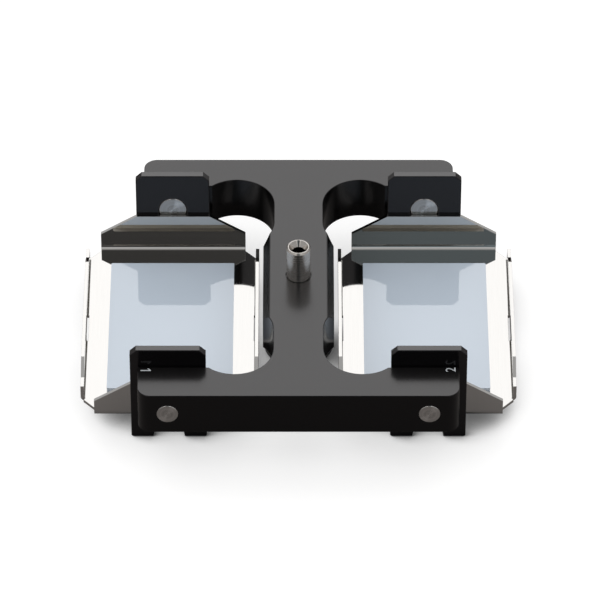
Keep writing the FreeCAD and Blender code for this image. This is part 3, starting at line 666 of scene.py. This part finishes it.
lens = {
    "place": (0.00102, -2.8659, 2.5384), "target": (0.00102, -0.0265, 0.0644), "focal": 333.0, "sensor": 36.0,
    "clip": (0.1, 60.0),
}


def backgroundShare(tree, mirrored):
    # white for the camera and for what is seen through; metal mirrors it dimly, as over a dark table
    path = addNode(tree, "ShaderNodeLightPath").outputs
    dimmed = mathNode(tree, "MULTIPLY", path["Is Glossy Ray"], mirrored)
    seen = mathNode(tree, "ADD", path["Is Camera Ray"], path["Is Transmission Ray"])
    return mathNode(tree, "ADD", seen, dimmed, clamp=True)


def makeFloor():
    mesh = bpy.data.meshes.new("floor")
    half = floorLook["half"]
    corners = [(-half, -half, 0), (half, -half, 0), (half, half, 0), (-half, half, 0)]
    mesh.from_pydata(corners, [], [(0, 1, 2, 3)])
    floor = bpy.data.objects.new("floor", mesh)
    bpy.context.scene.collection.objects.link(floor)
    material = newMaterial("paleFloor")
    tree = material.node_tree
    # the contact shadow is narrow and leans away from the light at the upper left
    lean = joinVector(tree, *floorLook["shadowLean"])
    openness = addNode(tree, "ShaderNodeAmbientOcclusion", {"samples": floorLook["shadowSamples"]}, {
        "Distance": floorLook["shadowReach"], "Normal": lean}).outputs["AO"]
    unshaded = remap(tree, openness, *floorLook["shadowEdge"], floorLook["shadowLevel"], 1.0, True)
    paper = addNode(tree, "ShaderNodeBsdfDiffuse", None, {"Color": floorLook["paper"]})
    lift = addNode(tree, "ShaderNodeEmission", None, {
        "Color": (1, 1, 1, 1), "Strength": mathNode(tree, "MULTIPLY", unshaded, floorLook["paperLift"])})
    white = addNode(tree, "ShaderNodeAddShader", None, {0: paper.outputs[0], 1: lift.outputs[0]})
    # the dark table seen in reflections carries the same painted contact shadow in its colour
    table = addNode(tree, "ShaderNodeBsdfDiffuse", None, {
        "Color": mixColor(tree, unshaded, (0, 0, 0, 1), floorLook["table"])})
    mix = addNode(tree, "ShaderNodeMixShader", None, {
        0: backgroundShare(tree, floorLook["mirrored"]), 1: table.outputs[0], 2: white.outputs[0]})
    output = addNode(tree, "ShaderNodeOutputMaterial")
    tree.links.new(mix.outputs[0], output.inputs[0])
    mesh.materials.append(material)


def makeStudio():
    # one soft bank of light round the rotor and above it, open towards the lens
    world = bpy.data.worlds.new("studio")
    bpy.context.scene.world = world
    world.use_nodes = True
    tree = world.node_tree
    tree.nodes.clear()
    direction = addNode(tree, "ShaderNodeTexCoord").outputs["Generated"]
    x, y, z = splitVector(tree, direction)[:3]
    angles = (studio["bankFrom"], studio["bankFull"]) + studio["cap"]
    rise = [math.sin(math.radians(angle)) for angle in angles]
    flat = addNode(tree, "ShaderNodeVectorMath", {"operation": "NORMALIZE"}, {0: joinVector(tree, x, y, 0.0)})
    flatX, flatY = splitVector(tree, flat.outputs[0])[:2]
    front = mathNode(tree, "MULTIPLY", flatY, -1.0)

    # the bank starts higher at the sides than at the back, and is weaker in its front half
    aside = mathNode(tree, "ABSOLUTE", flatX)
    drop = remap(tree, aside, studio["sideFrom"], studio["sideFull"], 0.0, studio["sideDrop"], True)
    level = remap(tree, mathNode(tree, "SUBTRACT", z, drop), rise[0], rise[1], 0.0, studio["bank"], True)
    level = mathNode(tree, "MULTIPLY", level, remap(tree, z, rise[2], rise[3], 1.0, studio["capLevel"], True))
    level = mathNode(tree, "MULTIPLY", level, mathNode(tree, "MULTIPLY_ADD", x, -studio["lean"], 1.0))
    dim = remap(tree, front, studio["frontFrom"], studio["frontFull"], 1.0, studio["frontShare"], True)
    level = mathNode(tree, "MULTIPLY", level, dim)
    wings = remap(tree, aside, studio["horizonFrom"], studio["horizonFull"], 0.0, studio["horizon"], True)
    level = mathNode(tree, "MAXIMUM", level, wings)

    # dark gap towards the lens, closed near the top
    edge = [math.cos(math.radians(studio["gapHalf"] + studio["gapSoft"] * side)) for side in (1, -1)]
    ends = [math.sin(math.radians(angle)) for angle in studio["gapEnds"]]
    gap = mathNode(tree, "MULTIPLY", remap(tree, front, edge[0], edge[1], 0.0, 1.0, True),
                   remap(tree, z, ends[0], ends[1], 1.0, 0.0, True))
    toRight = remap(tree, x, *studio["gapTurn"], 0.0, 1.0, True)
    gapColor = mixColor(tree, toRight, studio["gapLeft"], studio["gapRight"])
    bank = addNode(tree, "ShaderNodeVectorMath", {"operation": "SCALE"}, {
        0: studio["bankColor"], "Scale": level})
    color = mixColor(tree, gap, bank.outputs[0], gapColor)
    light = addNode(tree, "ShaderNodeBackground", None, {"Color": color, "Strength": 1.0})
    white = addNode(tree, "ShaderNodeBackground", None, {"Color": (1, 1, 1, 1), "Strength": 1.0})
    mix = addNode(tree, "ShaderNodeMixShader", None, {
        0: backgroundShare(tree, studio["mirrored"]), 1: light.outputs[0], 2: white.outputs[0]})
    output = addNode(tree, "ShaderNodeOutputWorld")
    tree.links.new(mix.outputs[0], output.inputs[0])


def makeCamera():
    data = bpy.data.cameras.new("camera")
    camera = bpy.data.objects.new("camera", data)
    bpy.context.scene.collection.objects.link(camera)
    place, target = Vector(lens["place"]), Vector(lens["target"])
    camera.location = place
    camera.rotation_mode = "QUATERNION"
    camera.rotation_quaternion = (target - place).to_track_quat("-Z", "Y")
    data.lens = lens["focal"]
    data.sensor_width = lens["sensor"]
    data.clip_start, data.clip_end = lens["clip"]
    bpy.context.scene.camera = camera


makeFloor()
makeStudio()
makeCamera()
bpy.context.scene.view_settings.view_transform = "Standard"
print("studio ready")
